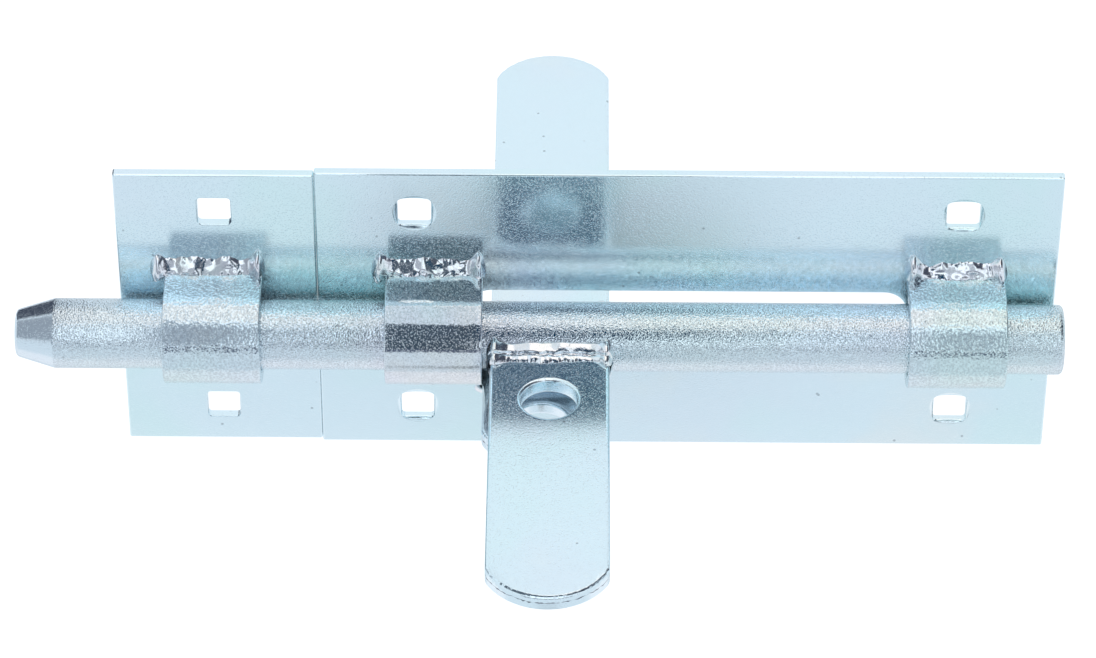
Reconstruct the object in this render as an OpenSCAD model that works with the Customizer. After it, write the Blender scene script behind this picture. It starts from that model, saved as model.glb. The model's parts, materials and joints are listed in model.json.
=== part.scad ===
// Two-sided slide bolt for a gate or a stable door, in millimetres.
// A round bolt runs in two strap hoops on a slotted plate and shoots into a third
// hoop on a separate keep plate. A flat handle is welded to the front of the bolt,
// and a second one to its back, which reaches through the slot to the far side of
// the door. A lug under the front handle takes a padlock through both eyes.
//
// +X runs along the bolt towards its open end, +Z is up, and the front faces -Y.
// The backs of both plates lie on Y = 0. The origin is the middle of the main
// plate's four fixing holes, on its back face.

/* [Main plate] */
// Length of the main plate along the bolt
plate_l = 190; // [180:1:220]
// Height of the main plate
plate_h = 90; // [82:1:120]
// Thickness of both plates
plate_t = 2.5; // [2:0.1:4]

/* [Fixing holes] */
// Distance between the two columns of holes
hole_pitch_x = 140; // [132:1:160]
// Distance between the two rows of holes
hole_pitch_z = 65; // [60:1:70]
// Side of each square hole, for the square neck of a carriage bolt
square_hole = 8.5; // [6:0.1:10]
// Radius of the corners of the square holes
hole_corner = 1; // [0.4:0.1:2]

/* [Keep plate] */
// Length of the keep plate along the bolt
keep_l = 50.7; // [44:0.1:80]
// Height of the keep plate
keep_h = 88.5; // [82:0.5:110]
// Gap between the two plates
keep_gap = 0.7; // [0.4:0.1:12]

/* [Slot] */
// Height of the slot that the rear handle passes through
slot_h = 12; // [10.5:0.5:14]
// How far the slot runs on behind the front hoop
slot_behind_front = 3.8; // [3:0.1:8]
// How far the slot runs on behind the rear hoop
slot_behind_rear = 0.3; // [0:0.1:6]

/* [Bolt] */
// Diameter of the bolt
bolt_d = 18; // [16:0.5:20]
// Length of the bolt
bolt_l = 268.8; // [262:0.2:300]
// How far the tail stands out past the main plate, with the bolt shot
bolt_tail = 1.4; // [0:0.2:20]
// Clear gap between the bolt and the main plate
bolt_gap = 2; // [1.2:0.1:4]
// Height of the bolt's axis above the middle of the plates
bolt_z = 1; // [-1:0.1:2]
// Length of the tapered nose
nose_l = 9; // [5:0.5:20]
// Diameter at the small end of the taper
nose_d = 12.5; // [9:0.5:15]
// Radius that rounds the end of the nose
nose_round = 1.2; // [0.5:0.1:3]
// Chamfer on the tail of the bolt
tail_chamfer = 0.8; // [0.2:0.1:2]

/* [Hoops] */
// Width of the strap that the hoops are bent from
strap_w = 25; // [20:0.5:28]
// Thickness of the strap
strap_t = 3; // [2.5:0.1:4]
// Clear gap between the bolt and the inside of a hoop
hoop_clear = 0.7; // [0.4:0.1:1.2]
// From the front end of the main plate to the middle of the front hoop
front_hoop_inset = 30; // [26:0.5:36]
// From the rear end of the main plate to the middle of the rear hoop
rear_hoop_inset = 26; // [20:0.5:34]
// From the middle of the keep plate to the middle of its hoop
keep_hoop_shift = -0.7; // [-6:0.1:6]

/* [Handles] */
// Width of the flat bar of the handles and the lug
bar_w = 30.5; // [24:0.5:34]
// Thickness of that bar
bar_t = 4; // [3:0.1:5]
// Gap between the front hoop and the handles, with the bolt shot
handle_gap = 2.05; // [2.05:0.05:6]
// Reach of the front handle from the front of the plate
front_reach = 111; // [80:0.5:140]
// Reach of the rear handle from the back of the plate
rear_reach = 104.5; // [80:0.5:140]
// Radius of the bar's rounded end
end_r = 17; // [16:0.5:26]
// Radius that blends the rounded end into the bar's sides
corner_r = 5; // [2:0.5:7]

/* [Padlock eyes] */
// Diameter of the padlock eyes in the front handle and the lug
eye_d = 14.5; // [8:0.5:16]
// From the front of the plate to the middle of the handle's eye
handle_eye_out = 37.8; // [34:0.1:44]
// From the front of the plate to the middle of the lug's eye
lug_eye_out = 33.6; // [31:0.1:38]
// Reach of the lug from the front of the plate
lug_reach = 47.4; // [46:0.1:60]
// Clear gap between the bolt and the lug below it
lug_clear = 0.6; // [0.4:0.1:3]

/* [Weld beads] */
// Size of the beads that hold the hoops and the lug
plate_bead = 3.6; // [2.5:0.1:4]
// Size of the beads that hold the front handle
front_handle_bead = 3.4; // [2:0.1:4]
// Size of the beads that hold the rear handle, inside the slot
rear_handle_bead = 2.4; // [1.5:0.1:2.6]
// Size of the tack between the lug and the front hoop
tack_bead = 2; // [1.2:0.1:2.4]
// Length of the tack between the lug and the front hoop
tack_l = 10; // [6:0.5:11]
// How far a bead runs past each side of its strap
strap_bead_over = 0.8; // [0:0.1:3]
// How far the beads on top of the front hoop and the keep's hoop run past the side
// towards the nose, where they were started
bead_start_over = 4; // [0:0.1:5]
// How far the front handle's beads run past each side of the bar
handle_bead_over = 1.2; // [0:0.1:1.4]
// Distance from one ripple of a bead to the next
ripple_pitch = 3; // [2:0.1:5]
// Depth of the ripples
ripple_depth = 0.35; // [0.1:0.05:0.6]
// How much fatter a bead is at its two ends
bead_flare = 0.8; // [0:0.1:1.2]

/* [Hidden] */
$fn = 96;

// How far a cutting shape stands clear of what it cuts
cut = 1;
// How far a bead's axis lies inside a round surface, so that the bead meets it
bead_root = 0.3;
// Extra sweep of a bead that ends against a round surface, in degrees
bead_wrap = 35;
// Points on the profile of a bead, for each ripple
points_per_ripple = 4;
// Steps in the arc that rounds the nose
nose_steps = 6;

plate_front = -plate_t;
bolt_y = plate_front - bolt_gap - bolt_d / 2;
hoop_ri = bolt_d / 2 + hoop_clear;
hoop_ro = hoop_ri + strap_t;
hoop_top = bolt_z + hoop_ro;
hoop_bottom = bolt_z - hoop_ro;

front_hoop_x = -plate_l / 2 + front_hoop_inset;
rear_hoop_x = plate_l / 2 - rear_hoop_inset;
front_hoop_side = front_hoop_x + strap_w / 2;
rear_hoop_side = rear_hoop_x - strap_w / 2;

keep_x = -plate_l / 2 - keep_gap - keep_l / 2;
keep_hoop_x = keep_x + keep_hoop_shift;

slot_x0 = front_hoop_side - slot_behind_front;
slot_x1 = rear_hoop_side + slot_behind_rear;

tail_x = plate_l / 2 + bolt_tail;
nose_x = tail_x - bolt_l;
// Slope of the tapered nose
nose_angle = atan((bolt_d - nose_d) / 2 / nose_l);

handle_x = front_hoop_side + handle_gap + bar_w / 2;
handle_top = bolt_z + bar_t / 2;
handle_bottom = bolt_z - bar_t / 2;
// From the bolt's axis to where the handle's faces meet the bolt
handle_seat = sqrt(pow(bolt_d / 2, 2) - pow(bar_t / 2, 2));

lug_x = front_hoop_side + bar_w / 2;
lug_top = bolt_z - bolt_d / 2 - lug_clear;
lug_bottom = lug_top - bar_t;

zinc = "#cfe0ea";
bead_silver = "#b4bcc4";

// Turns a profile drawn in Y and Z into a length centred on X
module along_x(length) {
    rotate([90, 0, 90])
        linear_extrude(height = length, center = true)
            children();
}

// A square hole with rounded corners
module square_hole_cut() {
    depth = plate_t + 2 * cut;
    flat = square_hole - 2 * hole_corner;
    cube([square_hole, depth, flat], center = true);
    cube([flat, depth, square_hole], center = true);
    for (x = [-flat / 2, flat / 2], z = [-flat / 2, flat / 2])
        translate([x, 0, z])
            rotate([90, 0, 0])
                cylinder(r = hole_corner, h = depth, center = true);
}

// A column of two square holes through a plate
module square_holes(x) {
    for (side = [-1, 1])
        translate([x, -plate_t / 2, side * hole_pitch_z / 2])
            square_hole_cut();
}

module plate_blank(x, length, height) {
    translate([x - length / 2, plate_front, -height / 2])
        cube([length, plate_t, height]);
}

// The slot has full round ends
module slot() {
    r = slot_h / 2;
    for (x = [slot_x0 + r, slot_x1 - r])
        translate([x, cut, bolt_z])
            rotate([90, 0, 0])
                cylinder(r = r, h = plate_t + 2 * cut);
    translate([slot_x0 + r, plate_front - cut, bolt_z - r])
        cube([slot_x1 - slot_x0 - slot_h, plate_t + 2 * cut, slot_h]);
}

// Half a ring round the front of the bolt, from which the hoop's legs start
module half_ring_profile() {
    intersection() {
        difference() {
            circle(r = hoop_ro);
            circle(r = hoop_ri);
        }
        translate([-hoop_ro - cut, -hoop_ro - cut])
            square([hoop_ro + cut, 2 * (hoop_ro + cut)]);
    }
}

// A strap bent round the bolt, with two straight legs standing on a plate
module strap_hoop(x) {
    translate([x, bolt_y, bolt_z])
        along_x(strap_w)
            half_ring_profile();
    for (z = [bolt_z - hoop_ro, bolt_z + hoop_ri])
        translate([x - strap_w / 2, bolt_y, z])
            cube([strap_w, plate_front - bolt_y, strap_t]);
}

// A bar along +Y from y = 0, with a rounded end whose corners are blended
module bar_outline(length) {
    side = bar_w / 2;
    blend_x = side - corner_r;
    rise = sqrt(pow(end_r - corner_r, 2) - pow(blend_x, 2));
    blend_y = length - end_r + rise;
    touch = end_r / (end_r - corner_r);
    translate([-side, 0])
        square([bar_w, blend_y]);
    for (s = [-1, 1])
        translate([s * blend_x, blend_y])
            circle(r = corner_r);
    intersection() {
        translate([0, length - end_r])
            circle(r = end_r);
        polygon([
            [-blend_x, blend_y],
            [blend_x, blend_y],
            [blend_x * touch, length - end_r + rise * touch],
            [blend_x * touch, length + cut],
            [-blend_x * touch, length + cut],
            [-blend_x * touch, length - end_r + rise * touch]
        ]);
    }
}

module bar(x, y, z, length, turn) {
    translate([x, y, z])
        rotate([0, 0, turn])
            linear_extrude(height = bar_t)
                bar_outline(length);
}

module bolt_bore() {
    translate([handle_x, bolt_y, bolt_z])
        rotate([0, 90, 0])
            cylinder(d = bolt_d, h = bar_w + 2 * strap_w, center = true);
}

module padlock_eye(x, out, z) {
    translate([x, plate_front - out, z - cut])
        cylinder(d = eye_d, h = bar_t + 2 * cut);
}

// Half width of a bead at a place along its run: rippled, fatter towards both
// ends, and closed off round at the very end
function bead_cap(size) = size * 0.6;
function bead_close(x, run, size) =
    sqrt(max(0, 1 - pow(max(0, (abs(x) - run / 2 + bead_cap(size)) / bead_cap(size)), 2)));
function bead_swell(x, run, size) =
    bead_flare * exp(-pow((run / 2 - bead_cap(size) - abs(x)) / ripple_pitch, 2));
function bead_radius(x, run, size) =
    (size + bead_swell(x, run, size) - ripple_depth * (1 + cos(360 * x / ripple_pitch)) / 2)
    * bead_close(x, run, size);

// A weld bead along X that turns about the corner line it fills. The turn is
// counted in degrees: 0 points down, 90 to the back, 180 up and 270 to the front.
module bead_run(run, size, from, sweep) {
    steps = ceil(run / ripple_pitch * points_per_ripple);
    rotate([0, 90, 0])
        rotate([0, 0, from])
            rotate_extrude(angle = sweep, $fn = 48)
                polygon(concat(
                    [[0, -run / 2]],
                    [for (i = [1 : steps - 1])
                        let (x = run * (i / steps - 0.5))
                        [bead_radius(x, run, size), x]],
                    [[0, run / 2]]
                ));
}

// A bead in the corner between a plate and the top or the underside of a hoop,
// which runs past the hoop's two sides by its own lengths
module hoop_bead(x, level, from, nose_over, rear_over) {
    translate([x + (rear_over - nose_over) / 2, plate_front, level])
        bead_run(strap_w + nose_over + rear_over, plate_bead, from, 90);
}

module hoop_upper_bead(x, nose_over) {
    hoop_bead(x, hoop_top, 180, nose_over, strap_bead_over);
}

module hoop_lower_bead(x, rear_over) {
    hoop_bead(x, hoop_bottom, 270, strap_bead_over, rear_over);
}

// A bead in the corner between a face of a handle and the bolt. Side is -1 in
// front of the bolt and 1 behind it.
module handle_bead(side, level, over, size, from) {
    difference() {
        translate([handle_x, bolt_y + side * (handle_seat - bead_root), level])
            bead_run(bar_w + 2 * over, size, from, 90 + bead_wrap);
        bolt_bore();
    }
}

module main_plate() {
    color(zinc)
        difference() {
            plate_blank(0, plate_l, plate_h);
            square_holes(-hole_pitch_x / 2);
            square_holes(hole_pitch_x / 2);
            slot();
        }
}

module front_hoop() {
    color(zinc)
        strap_hoop(front_hoop_x);
}

module rear_hoop() {
    color(zinc)
        strap_hoop(rear_hoop_x);
}

module padlock_lug() {
    color(zinc)
        difference() {
            bar(lug_x, plate_front, lug_bottom, lug_reach, 180);
            padlock_eye(lug_x, lug_eye_out, lug_bottom);
        }
}

module front_hoop_upper_weld() {
    color(bead_silver)
        hoop_upper_bead(front_hoop_x, bead_start_over);
}

// The lug stands against this hoop, so the bead stops level with its side
module front_hoop_lower_weld() {
    color(bead_silver)
        hoop_lower_bead(front_hoop_x, 0);
}

module rear_hoop_upper_weld() {
    color(bead_silver)
        hoop_upper_bead(rear_hoop_x, strap_bead_over);
}

module rear_hoop_lower_weld() {
    color(bead_silver)
        hoop_lower_bead(rear_hoop_x, strap_bead_over);
}

// The bead under the lug is shorter than the lug is wide
module lug_lower_weld() {
    color(bead_silver)
        translate([lug_x, plate_front, lug_bottom])
            bead_run(bar_w - 2 * plate_bead, plate_bead, 270, 90);
}

// A tack along the corner where the lug's edge meets the underside of the hoop
module lug_hoop_weld() {
    tack_y = bolt_y + hoop_ro / 4 - tack_l / 2;
    color(bead_silver)
        difference() {
            translate([front_hoop_side, tack_y, hoop_bottom + bead_root])
                rotate([0, 0, 90])
                    bead_run(tack_l, tack_bead, 0, 90 + bead_wrap);
            strap_hoop(front_hoop_x);
        }
}

module bolt_rod() {
    round_r = nose_d / 2 - nose_round * cos(nose_angle);
    taper_x = nose_x + nose_round * (1 - sin(nose_angle));
    color(zinc)
        translate([0, bolt_y, bolt_z])
            rotate([0, 90, 0])
                rotate_extrude()
                    polygon(concat(
                        [[0, nose_x]],
                        [for (i = [0 : nose_steps])
                            let (turn = (90 - nose_angle) * i / nose_steps)
                            [round_r + nose_round * sin(turn), nose_x + nose_round * (1 - cos(turn))]],
                        [
                            [bolt_d / 2, taper_x + nose_l],
                            [bolt_d / 2, tail_x - tail_chamfer],
                            [bolt_d / 2 - tail_chamfer, tail_x],
                            [0, tail_x]
                        ]
                    ));
}

module front_handle() {
    color(zinc)
        difference() {
            bar(handle_x, bolt_y, handle_bottom, front_reach - plate_front + bolt_y, 180);
            bolt_bore();
            padlock_eye(handle_x, handle_eye_out, handle_bottom);
        }
}

module rear_handle() {
    color(zinc)
        difference() {
            bar(handle_x, bolt_y, handle_bottom, rear_reach - bolt_y, 0);
            bolt_bore();
        }
}

module front_handle_upper_weld() {
    color(bead_silver)
        handle_bead(-1, handle_top, handle_bead_over, front_handle_bead, 180 - bead_wrap);
}

module front_handle_lower_weld() {
    color(bead_silver)
        handle_bead(-1, handle_bottom, handle_bead_over, front_handle_bead, 270);
}

module rear_handle_upper_weld() {
    color(bead_silver)
        handle_bead(1, handle_top, 0, rear_handle_bead, 90);
}

module rear_handle_lower_weld() {
    color(bead_silver)
        handle_bead(1, handle_bottom, 0, rear_handle_bead, -bead_wrap);
}

module keep_plate() {
    color(zinc)
        difference() {
            plate_blank(keep_x, keep_l, keep_h);
            square_holes(keep_x);
        }
}

module keep_hoop() {
    color(zinc)
        strap_hoop(keep_hoop_x);
}

module keep_hoop_upper_weld() {
    color(bead_silver)
        hoop_upper_bead(keep_hoop_x, bead_start_over);
}

module keep_hoop_lower_weld() {
    color(bead_silver)
        hoop_lower_bead(keep_hoop_x, strap_bead_over);
}

main_plate();
front_hoop();
rear_hoop();
padlock_lug();
front_hoop_upper_weld();
front_hoop_lower_weld();
rear_hoop_upper_weld();
rear_hoop_lower_weld();
lug_lower_weld();
lug_hoop_weld();
bolt_rod();
front_handle();
rear_handle();
front_handle_upper_weld();
front_handle_lower_weld();
rear_handle_upper_weld();
rear_handle_lower_weld();
keep_plate();
keep_hoop();
keep_hoop_upper_weld();
keep_hoop_lower_weld();
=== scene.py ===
# %% [markdown]
# A two-sided slide bolt in bright zinc plate.
#
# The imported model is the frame: it holds every piece at its real size and in its real place. Each cell
# below makes one kind of piece or one finish again, with the rolled edges, weld ripples and plating that
# the real bolt shows, in the place of its plain solid.

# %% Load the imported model
import json
import math
from collections import namedtuple

import bmesh
import bpy
from mathutils import Matrix, Vector, noise


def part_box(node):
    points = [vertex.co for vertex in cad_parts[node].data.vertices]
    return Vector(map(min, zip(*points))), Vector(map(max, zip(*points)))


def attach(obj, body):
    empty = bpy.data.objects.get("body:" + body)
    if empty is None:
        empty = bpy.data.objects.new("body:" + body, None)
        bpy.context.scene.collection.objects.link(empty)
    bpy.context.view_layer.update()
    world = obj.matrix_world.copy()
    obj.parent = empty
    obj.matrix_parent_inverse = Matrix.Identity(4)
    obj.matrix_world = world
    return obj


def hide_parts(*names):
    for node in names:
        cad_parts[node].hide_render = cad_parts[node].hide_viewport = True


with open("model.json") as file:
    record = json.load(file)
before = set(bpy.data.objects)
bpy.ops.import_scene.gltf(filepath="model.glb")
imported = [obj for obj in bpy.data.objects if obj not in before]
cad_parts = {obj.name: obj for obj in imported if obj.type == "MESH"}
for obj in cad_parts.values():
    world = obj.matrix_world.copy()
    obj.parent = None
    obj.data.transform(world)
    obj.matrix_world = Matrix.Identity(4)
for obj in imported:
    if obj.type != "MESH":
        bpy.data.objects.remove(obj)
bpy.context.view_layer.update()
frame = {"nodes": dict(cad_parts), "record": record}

MM = 0.001
print("nodes in the frame:", len(frame["nodes"]))

# %% [markdown]
# Every new piece has to move with the same body as the solid that it stands for. The body is looked up
# once here, so that the later cells only name the solid.

# %% Look up each solid's body
body_of = {}
for body, members in frame["record"]["behaviour"]["bodies"].items():
    for node in members:
        body_of[node] = body


def stand_for(piece, node):
    """Lets a finished piece ride and show in the place of a solid."""
    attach(piece, body_of[node])
    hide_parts(node)
    print(piece.name, "stands for", node, "with", len(piece.data.polygons), "faces")


# %% [markdown]
# The places come from the solids' own boxes. Sizes that a box doesn't show, such as the thickness of the
# strap, are written down once, in metres.

# %% Measure the frame
main_low, main_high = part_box("main_plate")
keep_low, keep_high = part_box("keep_plate")
rod_low, rod_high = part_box("bolt_rod")
plate_front = main_low.y
plate_t = main_high.y - main_low.y
rod_r = (rod_high.z - rod_low.z) / 2
rod_axis = Vector((0, (rod_low.y + rod_high.y) / 2, (rod_low.z + rod_high.z) / 2))
strap_t = 3 * MM
hole_pitch_x = 140 * MM
hole_pitch_z = 65 * MM
print("plate thickness", round(plate_t / MM, 2), "mm, bolt diameter", round(2 * rod_r / MM, 2), "mm")

# %% [markdown]
# The camera stands where the photographer stood: 40 degrees above the bolt, almost straight in front of
# it, with a long lens. Its place was fitted to the edges of both plates, so the picture has the
# photograph's perspective.

# %% Set up the camera
view_aim = Vector((-35.8, -2.5, -5.85)) * MM
view_distance = 1255.5 * MM
view_elevation = math.radians(40.156)
view_azimuth = math.radians(0.328)
view_roll = math.radians(0.178)
sensor_width = 36
focal_pixels = 4832.1
picture_width = 1096

camera_data = bpy.data.cameras.new("camera")
camera_data.sensor_width = sensor_width
camera_data.lens = focal_pixels / picture_width * sensor_width
camera_data.clip_start = 10 * MM
camera_data.clip_end = 50
camera = bpy.data.objects.new("camera", camera_data)
bpy.context.scene.collection.objects.link(camera)

backward = Vector((
    math.sin(view_azimuth) * math.cos(view_elevation),
    -math.cos(view_azimuth) * math.cos(view_elevation),
    math.sin(view_elevation),
))
turned = backward.to_track_quat("Z", "Y").to_matrix().to_4x4()
standpoint = Matrix.Translation(view_aim + backward * view_distance)
camera.matrix_world = standpoint @ turned @ Matrix.Rotation(view_roll, 4, "Z")
bpy.context.scene.camera = camera
bpy.context.scene.view_settings.view_transform = "Standard"
print("lens", round(camera_data.lens, 1), "mm")

# %% [markdown]
# Node trees are easier to read when a formula looks like one. An Amount stands for a number that a node
# puts out, and Python's signs add the math nodes for it. The other helpers add a node and fill its inputs
# with numbers or with other nodes' outputs. They serve shaders and Geometry Nodes alike.

# %% Helpers for node trees
class Amount:
    """What a node puts out, kept so that sums with it add the math nodes for them."""

    def __init__(self, socket):
        self.socket = socket
        self.tree = socket.id_data

    def __add__(self, other):
        return calc("ADD", self, other)

    def __sub__(self, other):
        return calc("SUBTRACT", self, other)

    def __rsub__(self, other):
        return calc("SUBTRACT", other, self)

    def __mul__(self, other):
        return calc("MULTIPLY", self, other)

    def __truediv__(self, other):
        return calc("DIVIDE", self, other)

    def __rtruediv__(self, other):
        return calc("DIVIDE", other, self)

    def __pow__(self, other):
        return calc("POWER", self, other)

    def __neg__(self):
        return calc("MULTIPLY", self, -1.0)

    def __abs__(self):
        return calc("ABSOLUTE", self)

    __radd__ = __add__
    __rmul__ = __mul__


def fill(socket, value):
    """Sets an input to a number, a colour or a place, or links it to what a node puts out."""
    if isinstance(value, Amount):
        value.tree.links.new(value.socket, socket)
    else:
        socket.default_value = value


def add(tree, kind, inputs=None, **settings):
    """Adds a node, with its settings, and fills the inputs that are named or numbered."""
    node = tree.nodes.new(kind)
    for key, value in settings.items():
        setattr(node, key, value)
    for key, value in (inputs or {}).items():
        fill(node.inputs[key], value)
    return node


def put(tree, kind, inputs=None, **settings):
    """Adds a node and gives the first thing that it puts out."""
    return Amount(add(tree, kind, inputs, **settings).outputs[0])


def amounts_of(node):
    """All that a node puts out, by name."""
    return {socket.name: Amount(socket) for socket in node.outputs if socket.name}


def calc(operation, *values, clamp=False):
    """Adds a math node to the tree in which its amounts stand."""
    tree = next(value.tree for value in values if isinstance(value, Amount))
    return put(tree, "ShaderNodeMath", dict(enumerate(values)), operation=operation, use_clamp=clamp)


def ramp(value, low, high, to_low=0.0, to_high=1.0, kind="SMOOTHSTEP"):
    """Goes from one number to another while the value goes from low to high."""
    inputs = {"Value": value, "From Min": low, "From Max": high, "To Min": to_low, "To Max": to_high}
    return put(value.tree, "ShaderNodeMapRange", inputs, interpolation_type=kind)


def place_on_piece(tree):
    return Amount(add(tree, "ShaderNodeTexCoord").outputs["Object"])


def blend_colours(share, first, second):
    node = add(share.tree, "ShaderNodeMix", {0: share, 6: first, 7: second}, data_type="RGBA")
    return Amount(node.outputs[2])


def seen(red, green, blue):
    """A colour as a picture shows it, from 0 to 255, turned into the linear one that a shader takes."""
    def linear(part):
        part = part / 255
        return part / 12.92 if part <= 0.04045 else ((part + 0.055) / 1.055) ** 2.4
    return (linear(red), linear(green), linear(blue), 1.0)


# %% [markdown]
# Plated steel shows nothing but what it reflects, so the studio matters more than any lamp. The object
# hangs over a white table in front of a white wall. A warm soft box hangs overhead and a cooler one
# stands in front. Dark cards along the horizon and at the right give the bright metal its edges, as
# photographers place them. Other cards, and one small light, stand close by and serve one piece each: the
# handle's top, the lug, the hoops and the nose. All of them are bent round the object or round its nose,
# and no camera sees them.

# %% Build the studio
pure_white = (1.0, 1.0, 1.0, 1.0)
soft_white = (0.87, 0.92, 0.97, 1.0)
warm_white = (1.0, 0.93, 0.89, 1.0)
grey_shade = (0.34, 0.37, 0.42, 1.0)
lug_shade = (0.20, 0.34, 0.42, 1.0)
navy_shade = (0.10, 0.14, 0.19, 1.0)
side_shade = (0.07, 0.08, 0.11, 1.0)
handle_shade = (0.0, 0.03, 0.07, 1.0)
far_dome = 3.0
handle_dome = 250 * MM
hoop_dome = 150 * MM
lug_dome = 130 * MM
nose_dome = 110 * MM
nose_x = rod_low.x + 12.4 * MM


def bare_tree(thing):
    """Gives a thing of the studio a material and empties its tree."""
    finish = bpy.data.materials.new(thing.name)
    finish.use_nodes = True
    finish.node_tree.nodes.clear()
    thing.data.materials.append(finish)
    return finish.node_tree


def sky_patch(name, first, last, left, right, shade, strength, radius=far_dome, middle=0.0):
    """Part of a dome, between two angles over the top from the front horizon and two shares of its width."""
    steps_up = 24
    steps_across = 16
    bm = bmesh.new()
    rows = []
    for i in range(steps_up + 1):
        turn = math.radians(first + (last - first) * i / steps_up)
        row = []
        for j in range(steps_across + 1):
            side = left + (right - left) * j / steps_across
            reach = radius * math.sqrt(1 - side * side)
            x = middle + radius * side
            row.append(bm.verts.new((x, -reach * math.cos(turn), reach * math.sin(turn))))
        rows.append(row)
    for low_row, high_row in zip(rows, rows[1:]):
        for j in range(steps_across):
            bm.faces.new((low_row[j], low_row[j + 1], high_row[j + 1], high_row[j]))
    mesh = bpy.data.meshes.new(name)
    bm.to_mesh(mesh)
    bm.free()
    patch = bpy.data.objects.new(name, mesh)
    bpy.context.scene.collection.objects.link(patch)
    tree = bare_tree(patch)
    glow = put(tree, "ShaderNodeEmission", {"Color": shade, "Strength": strength})
    add(tree, "ShaderNodeOutputMaterial", {"Surface": glow})
    patch.visible_camera = False
    patch.visible_diffuse = False
    patch.visible_shadow = False
    print(name, "hangs", round(radius, 2), "m away")


sky_patch("soft_box", 68, 128, -0.22, 0.28, warm_white, 1.25)
sky_patch("front_glow", 9, 68, -0.40, 0.30, soft_white, 1.35)
sky_patch("horizon_card", 0, 9, -0.60, 0.60, side_shade, 2.0)
sky_patch("right_card", 40, 136, 0.30, 0.93, side_shade, 1.0)
sky_patch("handle_card", 27, 62, -0.34, 0.05, handle_shade, 1.2, handle_dome)
sky_patch("lug_card", -29, -12, -0.40, -0.145, lug_shade, 0.6, lug_dome)
sky_patch("front_hoop_card", 8, 60, -0.57, -0.35, navy_shade, 0.65, hoop_dome)
sky_patch("front_hoop_glow", 61, 104, -0.57, -0.35, soft_white, 0.90, hoop_dome)
sky_patch("keep_hoop_card", 14, 52, -0.94, -0.75, grey_shade, 1.25, hoop_dome)
sky_patch("rear_hoop_card", 14, 52, 0.42, 0.63, grey_shade, 1.4, hoop_dome)
sky_patch("nose_front_card", 11, 94, -0.80, -0.16, grey_shade, 1.0, nose_dome, nose_x)
sky_patch("nose_back_card", 103, 185, -0.80, -0.16, side_shade, 1.0, nose_dome, nose_x)

world = bpy.data.worlds.new("studio")
world.use_nodes = True
fill(world.node_tree.nodes["Background"].inputs["Color"], soft_white)
bpy.context.scene.world = world

# %% [markdown]
# The table is one plain pale sheet, well below the bolt, so that its shadow is soft. Its own light makes
# it white for the camera, and the diffuse part under that light keeps the shadow. The metal sees a greyer
# table, as a camera does that exposes for bright steel, with a painted pool of light where it lies under
# the object and just in front, and a painted shadow spot further out, which the main plate mirrors round
# its picture of the handle.

# %% Lay the table
table_drop = 160 * MM
table_half = 8.0
table_paint = (0.70, 0.70, 0.70, 1.0)
table_glow = 0.50
# How the metal sees the table: an even grey-blue far off, and a painted pool of light nearer the object
mirrored_far = (0.35, 0.40, 0.45, 1.0)
mirrored_light_pool = (0.78, 0.68, 0.68, 1.0)
black = (0.0, 0.0, 0.0, 1.0)
near_from = -190 * MM
near_full = -150 * MM
near_gone = 60 * MM
# Place and size of a painted shadow spot on the table, which only the metal sees
shadow_spot_x = -33 * MM
shadow_spot_y = -278 * MM
shadow_spot_reach_x = 90 * MM
shadow_spot_core_y = 15 * MM
shadow_spot_reach_y = 55 * MM
shadow_spot_share = 0.65

table_mesh = bpy.data.meshes.new("table")
table_level = main_low.z - table_drop
table_mesh.from_pydata(
    [(x * table_half, y * table_half, table_level) for x, y in ((-1, -1), (1, -1), (1, 1), (-1, 1))],
    [], [(0, 1, 2, 3)],
)
table = bpy.data.objects.new("table", table_mesh)
bpy.context.scene.collection.objects.link(table)

table_tree = bare_tree(table)
ray = amounts_of(add(table_tree, "ShaderNodeLightPath"))
from_metal = ray["Is Glossy Ray"]
shown = calc("MAXIMUM", calc("MAXIMUM", ray["Is Camera Ray"], from_metal), ray["Is Transmission Ray"])
spot = amounts_of(add(table_tree, "ShaderNodeSeparateXYZ", {0: place_on_piece(table_tree)}))
# The mask named dull is a painted shadow spot. It darkens both the glow and the paint where the metal sees
# the table
shadow_spot_across = ramp(abs(spot["X"] - shadow_spot_x), 0.0, shadow_spot_reach_x, 1.0, 0.0)
shadow_spot_along = ramp(abs(spot["Y"] - shadow_spot_y), shadow_spot_core_y, shadow_spot_reach_y, 1.0, 0.0)
dull = shadow_spot_across * shadow_spot_along * shadow_spot_share * from_metal
# A painted pool of light under the object and just in front, which only the metal sees
near = ramp(spot["Y"], near_from, near_full) * ramp(spot["Y"], 0.0, near_gone, 1.0, 0.0)
mirrored = blend_colours(near, mirrored_far, mirrored_light_pool)
glow_colour = blend_colours(dull, blend_colours(from_metal, pure_white, mirrored), black)
paint_colour = blend_colours(dull, table_paint, black)
glow = put(table_tree, "ShaderNodeEmission", {"Color": glow_colour, "Strength": shown * table_glow})
paint = put(table_tree, "ShaderNodeBsdfDiffuse", {"Color": paint_colour})
both = put(table_tree, "ShaderNodeAddShader", {0: paint, 1: glow})
add(table_tree, "ShaderNodeOutputMaterial", {"Surface": both})
print("table", round((rod_axis.z - table_level) / MM), "mm below the bolt")

# %% [markdown]
# Electroplated zinc is a skin of fine crystals. Each one tilts the reflection a little, which shows as a
# fine sparkle where light meets dark and is invisible elsewhere. A bump from noise at the size of the
# crystals gives just that. The group adds a wider orange-peel wave and takes away small pocks, where a
# crystal is missing. Its stretch draws the crystals out along one axis.

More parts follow.
